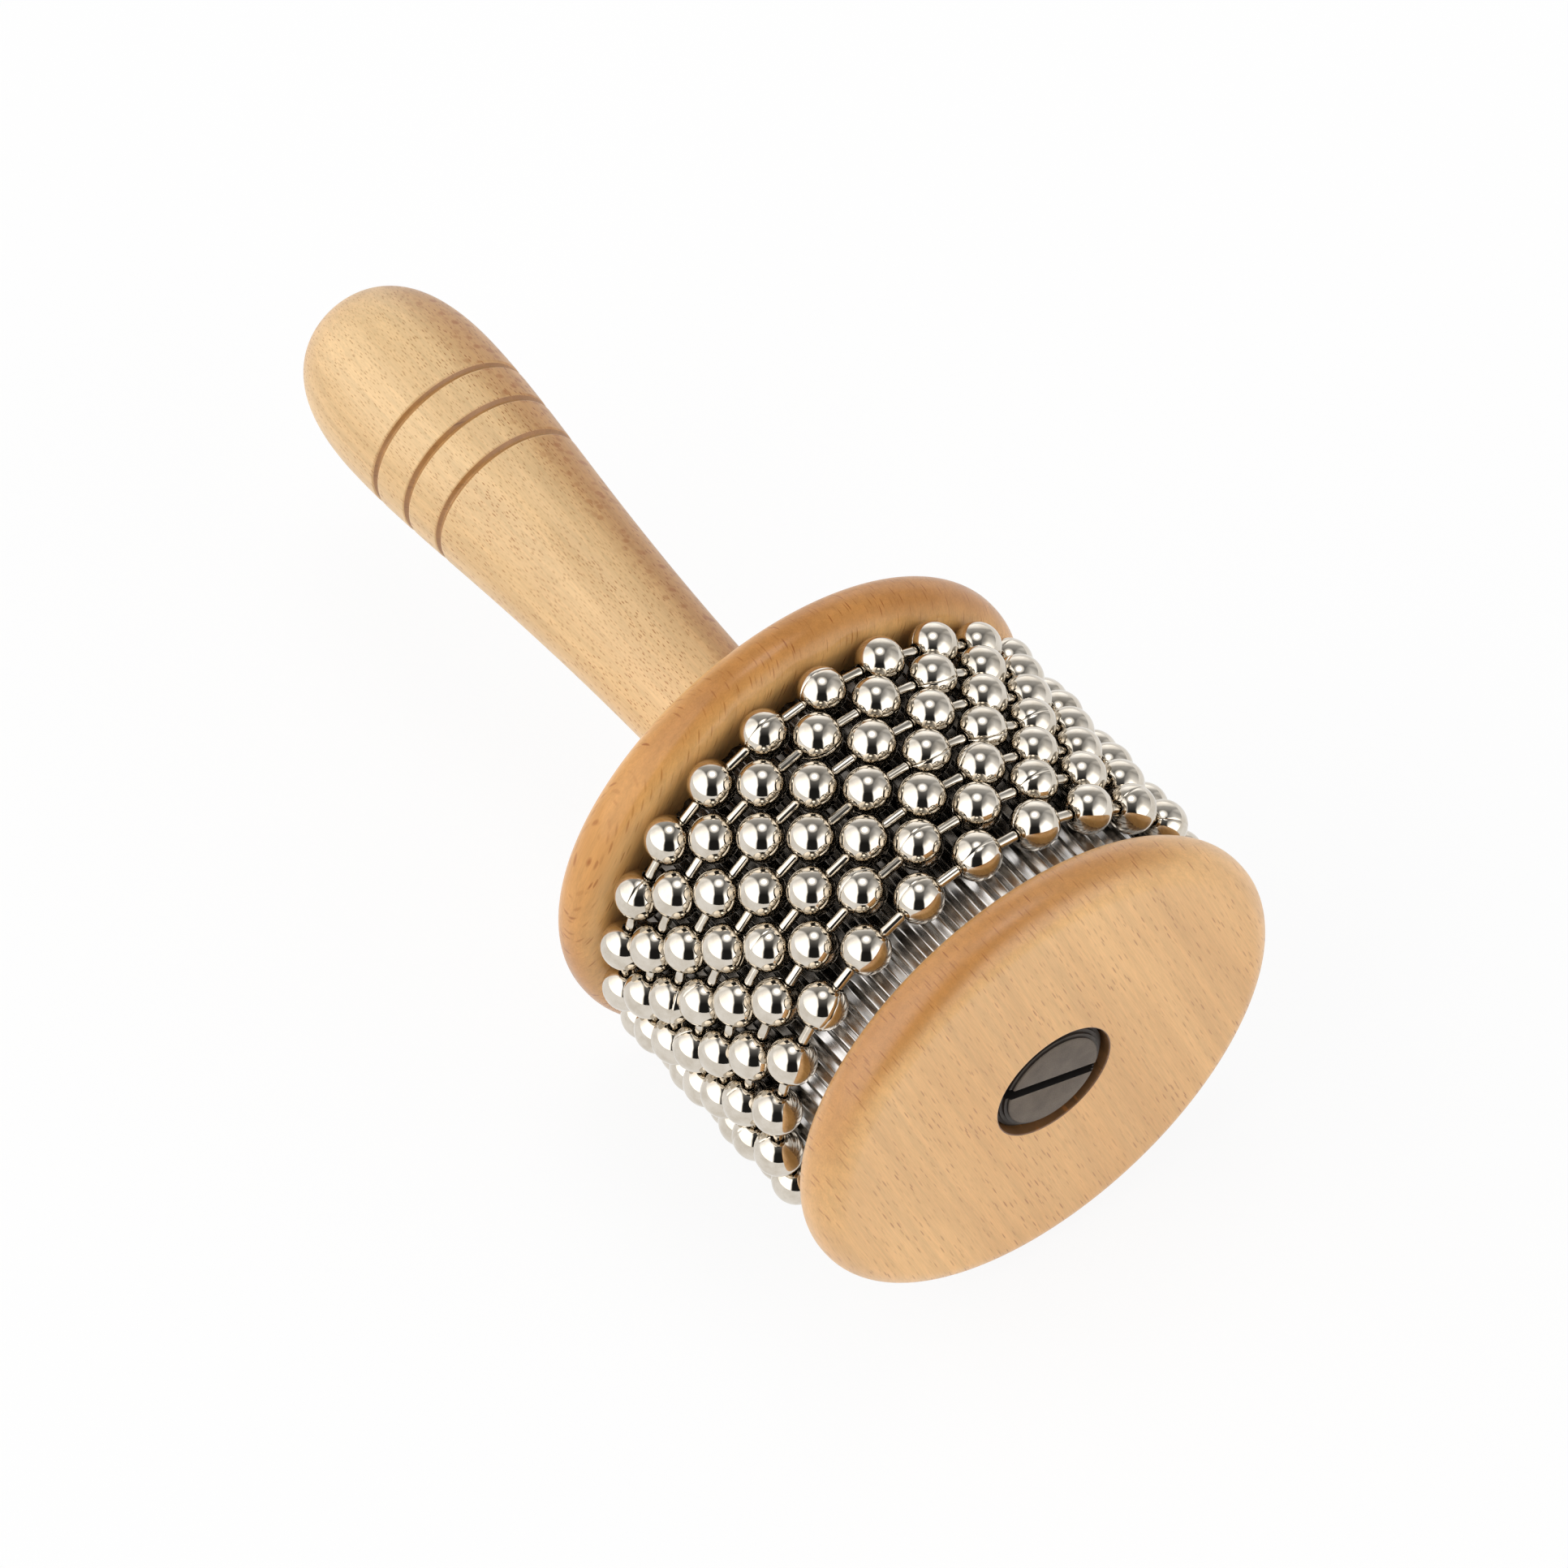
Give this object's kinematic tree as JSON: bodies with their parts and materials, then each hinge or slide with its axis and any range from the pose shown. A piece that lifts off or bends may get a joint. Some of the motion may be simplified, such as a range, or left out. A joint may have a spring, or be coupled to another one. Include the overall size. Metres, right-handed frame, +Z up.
{
  "type": "cabasa",
  "caption": "Hand percussion instrument: loops of ball chain that turn round a ribbed metal drum between two wooden discs, on a turned wooden handle.",
  "frame": {"origin": "on the ground, under the middle of the instrument's length as it lies on the rims of its two discs", "axes": "+Y along the drum's axis from the front disc to the handle, +Z up"},
  "size_m": [0.07, 0.1492, 0.07],
  "materials": {
    "beech": "clear satin lacquer on turned beech",
    "core_wood": "bare turned wood",
    "sleeve_metal": "bright ribbed sheet",
    "dark_screw": "matt dark oxide",
    "insert_brass": "turned",
    "nickel": "polished nickel plate"
  },
  "bodies": {
    "drum_and_handle": {"handle": "beech", "threaded_insert": "insert_brass", "rear_disc": "beech", "drum_core": "core_wood", "ribbed_sleeve": "sleeve_metal", "front_disc": "beech", "clamp_screw": "dark_screw"},
    "chain_1": {"chain_1_beads": "nickel", "chain_1_links": "nickel"},
    "chain_2": {"chain_2_beads": "nickel", "chain_2_links": "nickel"},
    "chain_3": {"chain_3_beads": "nickel", "chain_3_links": "nickel"},
    "chain_4": {"chain_4_beads": "nickel", "chain_4_links": "nickel"},
    "chain_5": {"chain_5_beads": "nickel", "chain_5_links": "nickel"},
    "chain_6": {"chain_6_beads": "nickel", "chain_6_links": "nickel"},
    "chain_7": {"chain_7_beads": "nickel", "chain_7_links": "nickel"}
  },
  "joints": [
    {"name": "chain_1_turn", "type": "hinge", "parent": "drum_and_handle", "child": "chain_1", "pos_m": [0, 0, 0.035], "axis": [0, 1, 0], "continuous": true},
    {"name": "chain_2_turn", "type": "hinge", "parent": "drum_and_handle", "child": "chain_2", "pos_m": [0, 0, 0.035], "axis": [0, 1, 0], "continuous": true},
    {"name": "chain_3_turn", "type": "hinge", "parent": "drum_and_handle", "child": "chain_3", "pos_m": [0, 0, 0.035], "axis": [0, 1, 0], "continuous": true},
    {"name": "chain_4_turn", "type": "hinge", "parent": "drum_and_handle", "child": "chain_4", "pos_m": [0, 0, 0.035], "axis": [0, 1, 0], "continuous": true},
    {"name": "chain_5_turn", "type": "hinge", "parent": "drum_and_handle", "child": "chain_5", "pos_m": [0, 0, 0.035], "axis": [0, 1, 0], "continuous": true},
    {"name": "chain_6_turn", "type": "hinge", "parent": "drum_and_handle", "child": "chain_6", "pos_m": [0, 0, 0.035], "axis": [0, 1, 0], "continuous": true},
    {"name": "chain_7_turn", "type": "hinge", "parent": "drum_and_handle", "child": "chain_7", "pos_m": [0, 0, 0.035], "axis": [0, 1, 0], "continuous": true}
  ],
  "couplings": [
    {"joint": "chain_2_turn", "follows": "chain_1_turn", "ratio": 1},
    {"joint": "chain_3_turn", "follows": "chain_1_turn", "ratio": 1},
    {"joint": "chain_4_turn", "follows": "chain_1_turn", "ratio": 1},
    {"joint": "chain_5_turn", "follows": "chain_1_turn", "ratio": 1},
    {"joint": "chain_6_turn", "follows": "chain_1_turn", "ratio": 1},
    {"joint": "chain_7_turn", "follows": "chain_1_turn", "ratio": 1}
  ]
}
